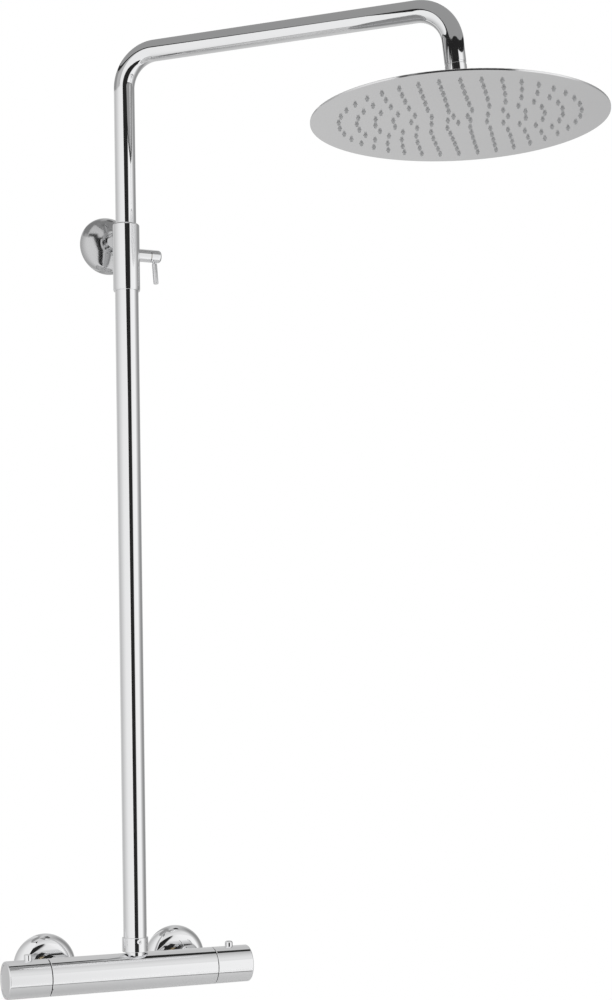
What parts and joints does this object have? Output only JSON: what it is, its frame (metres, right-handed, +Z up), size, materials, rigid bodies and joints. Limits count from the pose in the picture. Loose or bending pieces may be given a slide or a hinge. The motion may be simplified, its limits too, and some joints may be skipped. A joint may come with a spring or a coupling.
{
  "type": "rainfall shower column",
  "caption": "Chromed wall shower column: thermostatic bar mixer, telescopic riser with a lever lock, swivelling arm and a round overhead rain head on a ball joint.",
  "frame": {"origin": "midway between the two water inlets, on the wall plane", "axes": "+X to the right along the mixer, +Y into the wall, +Z up along the riser"},
  "size_m": [0.5565, 0.5055, 1.0235],
  "materials": {
    "chrome": "polished chrome plate",
    "brass": "bare turned brass",
    "steel": "satin stainless steel",
    "white_plastic": "moulded acetal",
    "ceramic": "lapped alumina",
    "black_rubber": "moulded rubber",
    "grey_silicone": "soft silicone"
  },
  "bodies": {
    "column": {"mixer_body": "chrome", "inlet_tails": "brass", "wall_unions": "brass", "union_nuts": "chrome", "hot_rose": "chrome", "cold_rose": "chrome", "inlet_filter_washers": "black_rubber", "check_valves": "white_plastic", "flow_cartridge_body": "brass", "flow_fixed_disc": "ceramic", "flow_stop_ring": "white_plastic", "thermostat_body": "white_plastic", "thermostat_seals": "black_rubber", "thermostat_return_spring": "steel", "temperature_stop_ring": "white_plastic", "outlet_collar": "chrome", "outlet_seal": "black_rubber", "collar_grub_screw": "steel", "lower_riser_tube": "chrome", "clamp_sleeve": "chrome", "guide_bush": "white_plastic", "bracket_base": "brass", "bracket_screws": "steel", "bracket_post": "chrome", "bracket_grub_screw": "steel", "bracket_rose": "chrome", "lock_hub": "chrome"},
    "flow_handle": {"flow_handle": "chrome", "flow_spindle": "brass", "flow_moving_disc": "ceramic", "flow_handle_screw": "steel", "flow_end_cap": "chrome", "flow_button_spring": "steel"},
    "flow_button": {"flow_button": "chrome"},
    "temperature_handle": {"temperature_handle": "chrome", "temperature_spindle": "brass", "temperature_handle_screw": "steel", "temperature_end_cap": "chrome", "temperature_button_spring": "steel"},
    "temperature_button": {"temperature_button": "chrome"},
    "regulator": {"regulator_cup": "white_plastic", "wax_element": "brass", "mixing_shuttle": "white_plastic"},
    "lock_lever": {"lock_cap": "chrome", "lock_spindle": "brass", "lever_pin": "chrome"},
    "brake_shoe": {"brake_shoe": "white_plastic"},
    "tube_carrier": {"guide_piston": "brass", "piston_seals": "black_rubber"},
    "arm": {"upper_arm_tube": "chrome", "spout_insert": "chrome", "ball_connector": "chrome", "connector_washer": "black_rubber"},
    "ball_ring": {"ball_seat_ring": "white_plastic"},
    "head": {"ball_retaining_nut": "chrome", "head_boss": "steel", "head_top_shell": "steel", "head_face_plate": "steel", "nozzle_mat": "grey_silicone"}
  },
  "joints": [
    {"name": "flow_turn", "type": "hinge", "parent": "column", "child": "flow_handle", "pos_m": [-0.1114, -0.065, -0.004], "axis": [1, 0, 0], "range_deg": [0, 90]},
    {"name": "flow_button_press", "type": "slide", "parent": "flow_handle", "child": "flow_button", "axis": [0, 0, -1], "range_m": [0, 0.003], "stiffness_N_per_m": 600, "springref_m": -0.002, "deforming": ["flow_button_spring"]},
    {"name": "temperature_turn", "type": "hinge", "parent": "column", "child": "temperature_handle", "pos_m": [0.115, -0.065, -0.004], "axis": [1, 0, 0], "range_deg": [-150, 50]},
    {"name": "temperature_button_press", "type": "slide", "parent": "temperature_handle", "child": "temperature_button", "axis": [0, 0, -1], "range_m": [0, 0.003], "stiffness_N_per_m": 600, "springref_m": -0.002, "deforming": ["temperature_button_spring"]},
    {"name": "regulator_slide", "type": "slide", "parent": "column", "child": "regulator", "axis": [1, 0, 0], "range_m": [-0.0014, 0.0005], "deforming": ["thermostat_return_spring"]},
    {"name": "lock_turn", "type": "hinge", "parent": "column", "child": "lock_lever", "pos_m": [0.03799, -0.06581, 0.7645], "axis": [-0.9997, 0.0262, 0], "range_deg": [0, 90]},
    {"name": "brake_slide", "type": "slide", "parent": "column", "child": "brake_shoe", "axis": [0.9997, -0.0262, 0], "range_m": [0, 0.001]},
    {"name": "height_slide", "type": "slide", "parent": "column", "child": "tube_carrier", "axis": [0, 0, 1], "range_m": [-0.13, 0.25]},
    {"name": "arm_swivel", "type": "hinge", "parent": "tube_carrier", "child": "arm", "pos_m": [0.007, -0.065, 0.471], "axis": [0, 0, 1], "range_deg": [-120, 30]},
    {"name": "head_tilt", "type": "hinge", "parent": "arm", "child": "ball_ring", "pos_m": [0.2695, -0.3275, 0.89115], "axis": [0.7071, 0.7071, 0], "range_deg": [-15, 15]},
    {"name": "head_roll", "type": "hinge", "parent": "ball_ring", "child": "head", "pos_m": [0.2695, -0.3275, 0.89115], "axis": [0.7071, -0.7071, 0], "range_deg": [-15, 15]}
  ],
  "couplings": [
    {"joint": "regulator_slide", "follows": "temperature_turn", "m_per_rad": 0.00047746},
    {"joint": "brake_slide", "follows": "lock_turn", "m_per_rad": 0.00063025}
  ]
}
